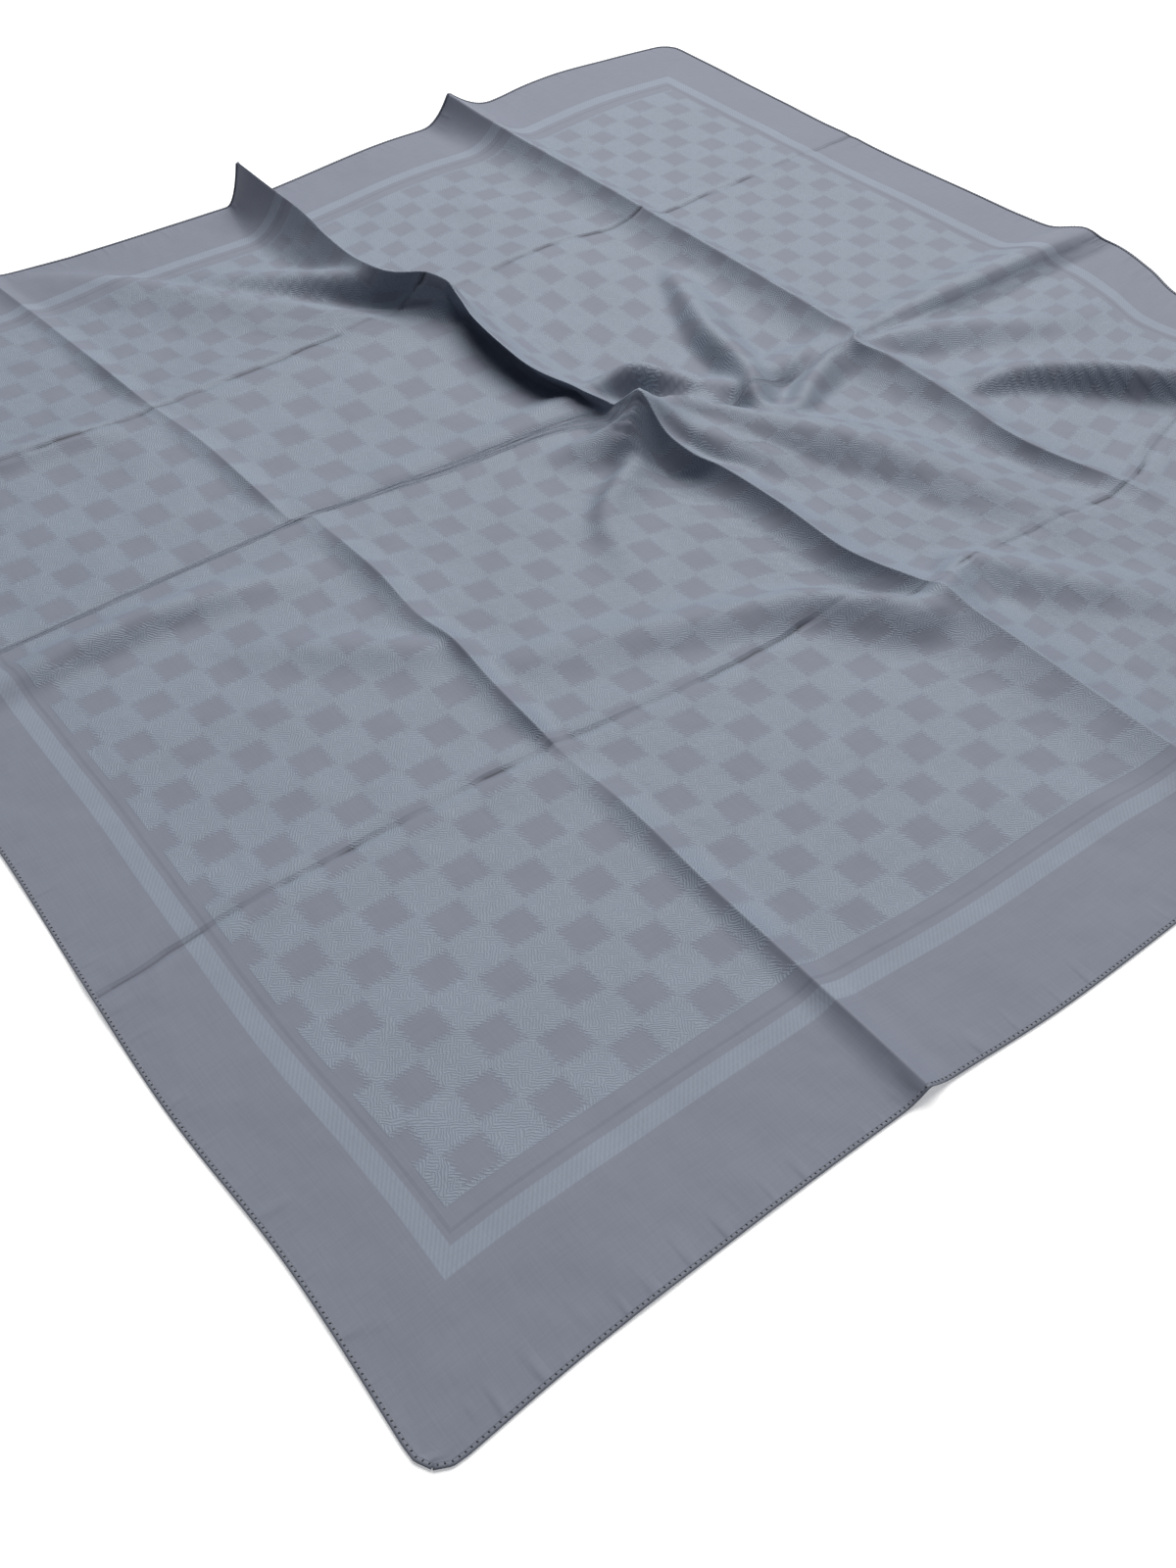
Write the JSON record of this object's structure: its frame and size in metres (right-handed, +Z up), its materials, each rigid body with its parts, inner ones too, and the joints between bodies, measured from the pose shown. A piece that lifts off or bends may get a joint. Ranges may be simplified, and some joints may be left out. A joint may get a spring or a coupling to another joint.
{
  "type": "headscarf",
  "caption": "Square jacquard headscarf with a satin chequer and narrow rolled hems, laid loosely flat with pressed creases and soft folds.",
  "frame": {"origin": "middle of the laid sheet in plan, on the surface it rests on", "axes": "+X along the side that is near and right in the picture, +Y along the side that is near and left, +Z up"},
  "size_m": [0.8507, 0.8495, 0.0378],
  "materials": {
    "cloth": "soft satin sheen on a jacquard weave",
    "hem": "soft sheen, rolled and stitched"
  },
  "bodies": {
    "root": {"scarf_cloth": "cloth", "hem_near_left": "hem", "hem_near_right": "hem", "hem_far_left": "hem", "hem_far_right": "hem"}
  },
  "joints": []
}
